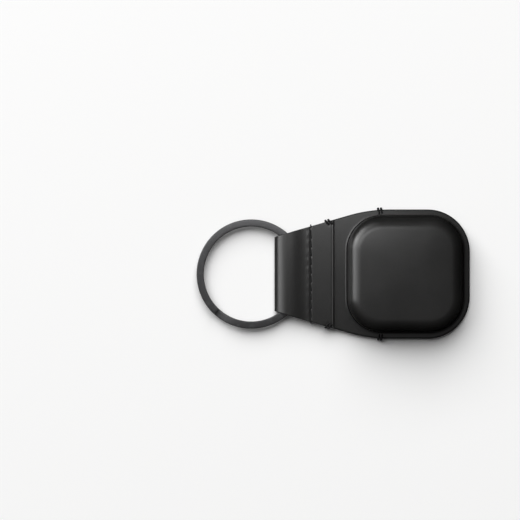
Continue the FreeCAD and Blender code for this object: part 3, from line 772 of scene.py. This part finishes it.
def flesh_side(look, colours):
    """Inner side of the leather: short fibres that lie in patches."""
    fibres = look.noise(0.09 * MM, 4.0, look.warped(0.8 * MM, 0.5 * MM))
    patches = look.noise(2.4 * MM, 3.0)
    tone = fibres * 0.6 + patches * 0.5
    return look.shade(
        Base_Color=tone.tint(lighter(colours.flesh, 0.55), lighter(colours.flesh, 1.6)),
        Roughness=0.85 + fibres * 0.12,
        Normal=look.bump(fibres, 0.04 * MM),
        Sheen_Weight=0.15,
    )


def waxed_thread(look, colours):
    """Waxed thread: fine fibres on the plies, which are modelled."""
    fibres = look.noise(0.05 * MM, 3.0)
    wax = look.noise(0.9 * MM, 2.0)
    return look.shade(
        Base_Color=fibres.tint(lighter(colours.thread, 0.5), lighter(colours.thread, 2.2)),
        Roughness=0.6 + wax * 0.25,
        IOR=1.3,
        Normal=look.bump(fibres, 0.012 * MM),
        Sheen_Weight=0.1,
    )


def moulded_plastic(look, colours):
    """Spark-eroded plastic: an even fine matt texture with a few flow marks."""
    sparks = look.noise(0.14 * MM, 2.0)
    flow = look.noise(6 * MM, 2.0, look.moved(scale=(1, 0.35, 1)))
    tone = sparks * 0.5 + flow * 0.5
    return look.shade(
        Base_Color=tone.tint(lighter(colours.plastic, 0.8), lighter(colours.plastic, 1.25)),
        Roughness=0.5 + sparks * 0.2,
        Normal=look.bump(sparks, 0.016 * MM),
    )


def napped_lining(look, colours):
    """Napped microfibre: very short fibres, brushed lighter and darker in streaks."""
    fibres = look.noise(0.08 * MM, 4.0, look.moved(scale=(1, 0.45, 1)))
    strokes = look.noise(3.5 * MM, 3.0, look.moved(scale=(1, 0.4, 1)))
    tone = fibres * 0.55 + strokes.ramp(0.3, 0.7) * 0.45
    return look.shade(
        Base_Color=tone.tint(lighter(colours.lining, 0.6), lighter(colours.lining, 1.35)),
        Roughness=0.9 + fibres * 0.08,
        Normal=look.bump(fibres, 0.05 * MM),
        Sheen_Weight=0.3,
        Sheen_Roughness=0.4,
    )


def dark_plating(look, colours):
    """Dark plated wire: drawn lines round the ring, rubbed lighter in places."""
    stretch = 0.004
    x, y, z = look.moved(location=tuple(-part for part in RING_AXIS)).parts()
    radius = (x * x + y * y) ** 0.5
    angle = x.math("ARCTAN2", y, x)
    sockets = {0: angle * stretch, 1: radius, 2: z}
    drawn = look.node("ShaderNodeCombineXYZ", None, sockets)
    lines = look.noise(0.09 * MM, 3.0, drawn)
    rubbed = look.noise(2.6 * MM, 4.0).ramp(0.5, 0.72)
    tone = lines * 0.55 + rubbed * 0.35
    return look.shade(
        Base_Color=tone.tint(lighter(colours.metal, 0.75), lighter(colours.metal, 1.5)),
        Metallic=0.95,
        Roughness=0.3 + lines * 0.16 + rubbed * 0.06,
        Normal=look.bump(lines, 0.004 * MM),
    )


def leathers(colours):
    """The three finishes of a leather piece: smooth side, painted edge, flesh side."""
    return [
        finish_of("smooth leather", smooth_leather, colours),
        finish_of("edge paint", edge_paint, colours),
        finish_of("flesh side", flesh_side, colours),
    ]


class HOLDER_OT_front_leather(bpy.types.Operator):
    """Front leather, pressed over the cup into a pillow, with its tongue under the strap's tab"""

    bl_idname = "holder.front_leather"
    bl_label = "Front leather"

    def execute(self, context):
        sizes, colours = context.scene.holder_sizes, context.scene.holder_colours
        plan = Plan(sizes)
        bm = bmesh.new()
        front_margin, inner_margin = 0.6 * MM, 0.5 * MM
        border_round, cut_margin = 0.42 * MM, 0.1 * MM
        half = sizes.pillow_half + front_margin
        corner = sizes.pillow_corner + front_margin
        outline, top = shell_side(bm, plan, sizes.rim_top, half, corner, front_profile(sizes))
        crown(bm, top, sizes.pillow_crown)
        outside = set(bm.faces)
        inward = sizes.rim_top - sizes.rim_bottom - inner_margin
        half = sizes.pillow_half - inward
        corner = sizes.pillow_corner - inward
        under, _ = shell_side(bm, plan, sizes.rim_bottom, half, corner, inner_profile(sizes))
        for face in bm.faces:
            face.material_index = SMOOTH if face in outside else FLESH
        border = bmesh.ops.bridge_loops(bm, edges=outline + under)["faces"]
        bmesh.ops.recalc_face_normals(bm, faces=bm.faces[:])
        for face in border:
            face.material_index = PAINT
        paint_border(bm, outline + under, border_round)
        start, end = NECK_BEND
        cut_across(bm, start[0] - cut_margin, end[0] + cut_margin, 10)
        piece = make_piece(bm, "front_leather", leathers(colours), flats=True)
        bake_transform(piece)
        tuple(start)
        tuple(end)
        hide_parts("front_shell", "strap_tongue")
        return {"FINISHED"}


class HOLDER_OT_strap_leather(bpy.types.Operator):
    """Strap: the tab on the front, the loop round the ring and the leg along the back of the neck"""

    bl_idname = "holder.strap_leather"
    bl_label = "Strap leather"

    def execute(self, context):
        sizes, colours = context.scene.holder_sizes, context.scene.holder_colours
        plan = Plan(sizes)
        bm = bmesh.new()
        draw_strap(bm, sizes)
        sweep_across(bm, plan)
        face_out(bm, max(bm.faces, key=lambda face: face.calc_center_median().z), UP)
        outer, borders = thicken(bm, sizes.strap_leather, STRAP_END)
        self.press(sizes, plan, outer)
        self.clear_ring(sizes, set(bm.verts) - set(outer))
        paint_border(bm, borders, sizes.edge_round)
        for vert in bm.verts:
            vert.co.z = max(vert.co.z, 0)
        piece = make_piece(bm, "strap_leather", leathers(colours))
        start, end = NECK_BEND
        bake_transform(piece)
        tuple(start)
        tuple(end)
        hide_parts("strap")
        return {"FINISHED"}

    def clear_ring(self, sizes, verts):
        """Hollows the loop's inside where the slope would come down on the ring."""
        inner = RING_WIDTH / 2 - sizes.ring_wire_width
        start = RING_AXIS.x + math.sqrt(inner**2 - sizes.fold_half**2)
        end = RING[1].x + sizes.ring_room
        for vert in verts:
            if vert.co.z > RING_AXIS.z and vert.co.x < end:
                room = RING[1].z + sizes.ring_room - max(0, start - vert.co.x)
                vert.co.z = max(vert.co.z, room)

    def press(self, sizes, plan, verts):
        """Presses the stitches' seats and the crease of the tab into the outer face."""
        seam = seam_stitches(sizes, plan)
        tacks = tack_stitches(sizes, plan, sizes.tab_tack_reach, sizes.tab_tack_slant)
        seam_x, end_x, fall = -sizes.seam_reach, -sizes.tab_end, sizes.tab_round
        tacks_x = seam_x + 2.25 * MM
        pucker_x, crease_x, lip_x = seam_x - 0.95 * MM, end_x - 0.88 * MM, end_x - 0.45 * MM
        for vert in verts:
            x, y, z = vert.co
            place = Vector((x, y, 0))
            if z < 0.5 * MM and x > seam_x - 2 * MM:
                sunk = seat_depth(place, seam, 0.55 * MM)
                if x > tacks_x:
                    sunk = max(sunk, seat_depth(place, tacks, 0.45 * MM))
                vert.co.z += BACK_SEAT * sunk
            elif z > sizes.rim_top and x > seam_x - 2.4 * MM:
                wave = 0.5 + 0.5 * math.cos(2 * math.pi * (y / sizes.stitch_pitch - 0.5))
                swell = PUCKER * ridge(x - pucker_x, 0.4 * MM) * wave + LIP * ridge(x - lip_x, 0.15 * MM)
                sunk = SEAM_SEAT * seat_depth(place, seam, 0.3 * MM)
                if x > tacks_x:
                    sunk = max(sunk, TACK_SEAT * seat_depth(place, tacks, 0.4 * MM))
                vert.co.z += swell - sunk - CREASE * ridge(x - crease_x, 0.14 * MM)
                near = max(0, fall - (end_x - x))
                vert.co.z -= fall - math.sqrt(fall**2 - near**2)


class HOLDER_OT_back_leather(bpy.types.Operator):
    """Back of the head: the fixed heel and the panel that folds open, in one piece"""

    bl_idname = "holder.back_leather"
    bl_label = "Back leather"

    def execute(self, context):
        sizes, colours = context.scene.holder_sizes, context.scene.holder_colours
        plan = Plan(sizes)
        bm = bmesh.new()
        pen = Pen(bm, (STRAP_END, -1, 0))
        for x, cuts in ((-9.8, 5), (-6.9, 22), (-5.4, 9), (0, 4)):
            pen.run((x * MM, -1, 0), cuts)
        pen.run((plan.flat, -1, 0), 4)
        sweep_across(bm, plan)
        last_verts = {vert for vert in bm.verts if abs(vert.co.x - plan.flat) < SAME_PLACE}
        last = [edge for edge in bm.edges if last_verts.issuperset(edge.verts)]
        before = set(bm.edges)
        pen = Pen(bm, (plan.flat, plan.half, 0))
        pen.bend((plan.flat, plan.flat, 0), UP, -math.pi / 2, CORNER_STEPS)
        pen.run((plan.half, -plan.flat, 0), 6)
        pen.bend((plan.flat, -plan.flat, 0), UP, -math.pi / 2, CORNER_STEPS)
        bmesh.ops.remove_doubles(bm, verts=bm.verts[:], dist=MERGE)
        end = [edge for edge in bm.edges if edge not in before]
        bmesh.ops.contextual_create(bm, geom=last + end)
        face_out(bm, next(iter(bm.faces)), -UP)
        outer, borders = thicken(bm, sizes.strap_leather, STRAP_END)
        tacks = tack_stitches(sizes, plan, sizes.mouth_tack_reach, sizes.mouth_tack_slant)
        for vert in outer:
            if vert.co.x < HINGE_X:
                place = Vector((vert.co.x, vert.co.y, 0))
                vert.co.z += BACK_SEAT * seat_depth(place, tacks, 0.45 * MM)
        paint_border(bm, borders, sizes.edge_round)
        piece = make_piece(bm, "back_leather", leathers(colours), flats=True)
        start, end = BACK_BEND
        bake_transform(piece)
        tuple(start)
        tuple(end)
        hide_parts("back_heel", "back_panel")
        return {"FINISHED"}


class HOLDER_OT_stitching(bpy.types.Operator):
    """Row of stitches across the neck, and the tacks of the tab and the pocket's mouth"""

    bl_idname = "holder.stitching"
    bl_label = "Stitching"

    def execute(self, context):
        sizes, colours = context.scene.holder_sizes, context.scene.holder_colours
        plan = Plan(sizes)
        tab = sizes.rim_top + sizes.strap_leather
        bottom_room = 0.05 * MM
        # For each piece: its stitches, thread, top of the thread's middle, body and the nodes it stands for.
        rows = {
            "neck_stitches": (
                seam_stitches(sizes, plan),
                sizes.thread_radius,
                tab - 0.05 * MM,
                "neck_strap",
                ["neck_seam"],
            ),
            "tab_stitches": (
                tack_stitches(sizes, plan, sizes.tab_tack_reach, sizes.tab_tack_slant),
                sizes.tack_radius,
                tab + 0.26 * MM,
                "neck_strap",
                ["tab_tack_upper", "tab_tack_lower"],
            ),
            "mouth_stitches": (
                tack_stitches(sizes, plan, sizes.mouth_tack_reach, sizes.mouth_tack_slant),
                sizes.tack_radius,
                sizes.rim_top + 0.28 * MM,
                "holder",
                ["mouth_tack_upper", "mouth_tack_lower"],
            ),
        }
        finish = finish_of("waxed thread", waxed_thread, colours)
        for name, (pairs, radius, high, body, nodes) in rows.items():
            bm = bmesh.new()
            sew(bm, pairs, radius, radius + bottom_room, high)
            piece = make_piece(bm, name, [finish])
            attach(piece, body)
            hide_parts(*nodes)
        return {"FINISHED"}


class HOLDER_OT_split_ring(bpy.types.Operator):
    """Split ring: flat wire in two turns, with one climb between them"""

    bl_idname = "holder.split_ring"
    bl_label = "Split ring"

    def execute(self, context):
        sizes, colours = context.scene.holder_sizes, context.scene.holder_colours
        climb_end, climb = math.radians(254), math.radians(26)
        steps, rises, end_round = 108, 12, 0.08 * MM
        step = RING[1].z - RING[0].z - sizes.ring_wire_height
        bm = bmesh.new()
        outer = RING_WIDTH / 2
        middle = Vector((outer - sizes.ring_wire_width / 2, 0, RING[0].z + sizes.ring_wire_height / 2))
        section = self.wire(bm, sizes, middle)
        foot = Vector((RING_AXIS.x, 0, 0))
        place = Matrix.Translation(foot) @ Matrix.Rotation(climb_end, 4, "Z")
        bmesh.ops.transform(bm, matrix=place, verts=bm.verts[:])
        start = list(section)

        def wind(edges, angle, count, rise=0.0):
            made = bmesh.ops.spin(
                bm, geom=edges, cent=foot, axis=UP, dvec=(0, 0, rise), angle=angle, steps=count
            )
            return edges_in(made["geom_last"])

        section = wind(section, 2 * math.pi - climb, steps)
        done = 0.0
        for k in range(1, rises + 1):
            climbed = eased(k / rises)
            section = wind(section, climb / rises, 1, (climbed - done) * step)
            done = climbed
        section = wind(section, 2 * math.pi - climb, steps)
        ends = [bmesh.ops.contextual_create(bm, geom=edges)["faces"][0] for edges in (start, section)]
        soften(bm, [edge for face in ends for edge in face.edges], end_round, 2)
        bmesh.ops.recalc_face_normals(bm, faces=bm.faces[:])
        piece = make_piece(bm, "key_ring_wire", [finish_of("dark plating", dark_plating, colours)])
        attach(piece, "key_ring")
        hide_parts("split_ring")
        return {"FINISHED"}

    def wire(self, bm, sizes, middle):
        """Rounded section of the flat wire, in the XZ plane."""
        across, small = (0, -1, 0), sizes.ring_wire_round
        wide, high = sizes.ring_wire_width / 2 - small, sizes.ring_wire_height / 2 - small
        pen = Pen(bm, middle + Vector((wide + small, 0, -high)))
        corners = [(wide, high), (-wide, high), (-wide, -high), (wide, -high)]
        outs = [(1, 0), (0, 1), (-1, 0), (0, -1)]
        for (x, z), (out_x, out_z) in zip(corners, outs):
            pen.run(middle + Vector((x + out_x * small, 0, z + out_z * small)), 3)
            pen.bend(middle + Vector((x, 0, z)), across, math.pi / 2, 4)
        bmesh.ops.remove_doubles(bm, verts=bm.verts[:], dist=MERGE)
        return bm.edges[:]


class HOLDER_OT_linings(bpy.types.Operator):
    """Linings of the cup, the closing plate and the heel"""

    bl_idname = "holder.linings"
    bl_label = "Linings"

    def execute(self, context):
        colours = context.scene.holder_colours
        finish = finish_of("napped lining", napped_lining, colours)
        # For each piece: the node it stands for, its body, corner radius and what it is laid on.
        lined = {
            "cup_cloth": ("cup_lining", "holder", 6.05 * MM, "tag_cup"),
            "plate_cloth": ("plate_lining", "back_flap", 8.5 * MM, "closing_plate"),
            "heel_pad": ("heel_lining", "holder", 8.8 * MM, None),
        }
        for name, (node, body, corner, under) in lined.items():
            low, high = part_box(node)
            half = high.y
            bm = bmesh.new()
            fill(bm, rounded_square(bm, half, corner, low.z, 12))
            for limit, way in ((low.x, -1), (high.x, 1)):
                everything = bm.verts[:] + bm.edges[:] + bm.faces[:]
                bmesh.ops.bisect_plane(
                    bm,
                    geom=everything,
                    dist=MERGE,
                    plane_co=(limit, 0, 0),
                    plane_no=(way, 0, 0),
                    clear_outer=True,
                )
            area = sum(face.calc_area() for face in bm.faces)
            raise_up(bm, high.z - low.z)
            rims = [edge for edge in bm.edges if abs(edge.verts[0].co.z - edge.verts[1].co.z) < MERGE]
            soften(bm, rims, 0.3 * (high.z - low.z), 3)
            piece = make_piece(bm, name, [finish], flats=True)
            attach(piece, body)
            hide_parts(node)
        return {"FINISHED"}


class HOLDER_OT_inner_parts(bpy.types.Operator):
    """Cup, closing plate and the filler between the strap's layers"""

    bl_idname = "holder.inner_parts"
    bl_label = "Inner parts"

    def execute(self, context):
        sizes, colours = context.scene.holder_sizes, context.scene.holder_colours
        plastic = finish_of("moulded plastic", moulded_plastic, colours)
        for node in ("tag_cup", "closing_plate"):
            materials = frame["nodes"][node].data.materials
            materials.clear()
            materials.append(plastic)
        plan = Plan(sizes)
        low, high = CORE
        bm = bmesh.new()
        pen = Pen(bm, (low.x, -plan.half_at(low.x), low.z))
        for x, side in ((high.x, -1), (high.x, 1), (low.x, 1), (low.x, -1)):
            pen.run((x, side * plan.half_at(x), low.z))
        bmesh.ops.remove_doubles(bm, verts=bm.verts[:], dist=MERGE)
        fill(bm, bm.edges[:])
        raise_up(bm, high.z - low.z)
        soften(bm, bm.edges[:], 0.12 * MM, 2)
        piece = make_piece(bm, "neck_filler", [finish_of("edge paint", edge_paint, colours)], flats=True)
        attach(piece, "neck_strap")
        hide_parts("strap_core")
        return {"FINISHED"}


def aim(thing, target):
    """Turns a lamp or camera to look at a place."""
    way = Vector(target) - thing.location
    thing.rotation_euler = way.to_track_quat("-Z", "Y").to_euler()


def softbox(name, place, target, size, power):
    """A soft lamp of a size in metres and a power in watts, aimed at a place."""
    lamp = bpy.data.lights.new(name, "AREA")
    lamp.shape = "RECTANGLE"
    lamp.size, lamp.size_y = size
    lamp.energy = power
    box = bpy.data.objects.new(name, lamp)
    bpy.context.scene.collection.objects.link(box)
    box.location = place
    aim(box, target)
    return box


class HOLDER_OT_stage(bpy.types.Operator):
    """Pale floor, soft light from the upper left, and a camera straight above"""

    bl_idname = "holder.stage"
    bl_label = "Stage"

    def execute(self, context):
        scene, colours = context.scene, context.scene.holder_colours
        bm = bmesh.new()
        floor_size, gap = 3, 0.02 * MM
        bmesh.ops.create_grid(bm, x_segments=1, y_segments=1, size=floor_size)
        bmesh.ops.translate(bm, verts=bm.verts[:], vec=-UP * gap)
        floor = make_piece(bm, "floor", [self.floor_finish(colours)])
        floor.visible_glossy = False
        key = softbox("key", (-0.8, 2.3, 2.4), HOLDER_MIDDLE, (4.8, 3.6), 217)
        key.visible_glossy = False
        sides = [self.side_lamp(*step) for step in SIDE_LAMPS]
        bar = softbox("bar", (-0.045, 0.045, 0.11), (-0.045, 0.045, 0), (0.09, 0.05), 0.03)
        under = softbox("under", (-0.02, 0, -0.5), HOLDER_MIDDLE, (1.6, 1.6), 2.7)
        under.visible_camera = False
        for lamp in (bar, *sides):
            lamp.light_linking.receiver_collection = self.all_but(floor)
        under.light_linking.receiver_collection = self.all_but(floor, bpy.data.objects["front_leather"])
        under.light_linking.blocker_collection = self.all_but(floor)
        scene.world = self.studio()
        self.camera(scene)
        scene.view_settings.view_transform = "Standard"
        return {"FINISHED"}

    def side_lamp(self, azimuth, elevation, spread, power):
        """One step of a light on the ring's side that fades upwards and towards the back."""
        far, wide, middle = 0.6, 0.33, Vector((-0.01, 0, 0.01))
        way = Matrix.Rotation(math.radians(elevation), 3, "Y") @ Vector((-1, 0, 0))
        way = Matrix.Rotation(math.radians(-azimuth), 3, "Z") @ way
        high = 2 * far * math.tan(math.radians(spread / 2))
        return softbox("side", middle + way * far, middle, (wide, high), power)

    def all_but(self, *things):
        """A light's linking: it has to do with everything except these."""
        kept = bpy.data.collections.new("left out of a light")
        for thing in things:
            kept.objects.link(thing)
        for linked in kept.collection_objects:
            linked.light_linking.link_state = "EXCLUDE"
        return kept

    def studio(self):
        """Dim room over the floor, brightest straight above and darker towards the lower right."""
        world = bpy.data.worlds.new("studio")
        world.use_nodes = True
        tree = world.node_tree
        tree.nodes.clear()
        overhead, fall_off, depth = 0.225, 1.9, 0.75
        right, back, height = Signal.node(tree, "ShaderNodeTexCoord").parts()
        shade = 1 - (right - back).ramp(0.12, 0.55) * depth
        strength = height.math("MAXIMUM", height, 0.0) ** fall_off * shade * overhead
        sockets = {"Color": (1, 1, 1, 1), "Strength": strength}
        room = Signal.node(tree, "ShaderNodeBackground", None, sockets)
        Signal.node(tree, "ShaderNodeOutputWorld", None, {"Surface": room})
        return world

    def camera(self, scene):
        """Straight down on the middle of the photograph's frame, from far off."""
        lens = bpy.data.cameras.new("camera")
        lens.lens = 190
        lens.sensor_width = 36
        view = bpy.data.objects.new("camera", lens)
        scene.collection.objects.link(view)
        seen = RING_WIDTH / RING_PIXELS * PHOTO_WIDTH
        view.location = (-46.5 * MM, 4.5 * MM, seen * lens.lens / lens.sensor_width)
        lens.clip_end = 20
        scene.camera = view

    def floor_finish(self, colours):
        """Matt floor that is clear from beneath."""
        look = Finish("pale floor")
        sheet = look.node("ShaderNodeBsdfDiffuse", None, {"Color": (*colours.floor, 1)})
        clear = look.node("ShaderNodeBsdfTransparent")
        below = look.node("ShaderNodeNewGeometry", output=6)
        mixed = look.node("ShaderNodeMixShader", None, {0: below, 1: sheet, 2: clear})
        look.node("ShaderNodeOutputMaterial", None, {"Surface": mixed})
        return look.material


class HOLDER_PT_sidebar(bpy.types.Panel):
    """Sizes, colours and the making of each piece"""

    bl_idname = "HOLDER_PT_sidebar"
    bl_label = "Tracker tag holder"
    bl_space_type = "VIEW_3D"
    bl_region_type = "UI"
    bl_category = "Tag holder"

    def draw(self, context):
        for made in OPERATORS:
            self.layout.operator(made.bl_idname)
        for group in (context.scene.holder_sizes, context.scene.holder_colours):
            column = self.layout.column(align=True)
            for name in group.__annotations__:
                column.prop(group, name)


OPERATORS = (
    HOLDER_OT_front_leather,
    HOLDER_OT_strap_leather,
    HOLDER_OT_back_leather,
    HOLDER_OT_stitching,
    HOLDER_OT_split_ring,
    HOLDER_OT_linings,
    HOLDER_OT_inner_parts,
    HOLDER_OT_stage,
)
CLASSES = (HolderSizes, HolderColours, *OPERATORS, HOLDER_PT_sidebar)


def register():
    for made in CLASSES:
        bpy.utils.register_class(made)
    bpy.types.Scene.holder_sizes = bpy.props.PointerProperty(type=HolderSizes)
    bpy.types.Scene.holder_colours = bpy.props.PointerProperty(type=HolderColours)


def unregister():
    del bpy.types.Scene.holder_colours
    del bpy.types.Scene.holder_sizes
    for made in reversed(CLASSES):
        bpy.utils.unregister_class(made)


def main():
    register()
    bpy.ops.holder.front_leather()
    bpy.ops.holder.strap_leather()
    bpy.ops.holder.back_leather()
    bpy.ops.holder.stitching()
    bpy.ops.holder.split_ring()
    bpy.ops.holder.linings()
    bpy.ops.holder.inner_parts()
    bpy.ops.holder.stage()


if __name__ == "__main__":
    main()
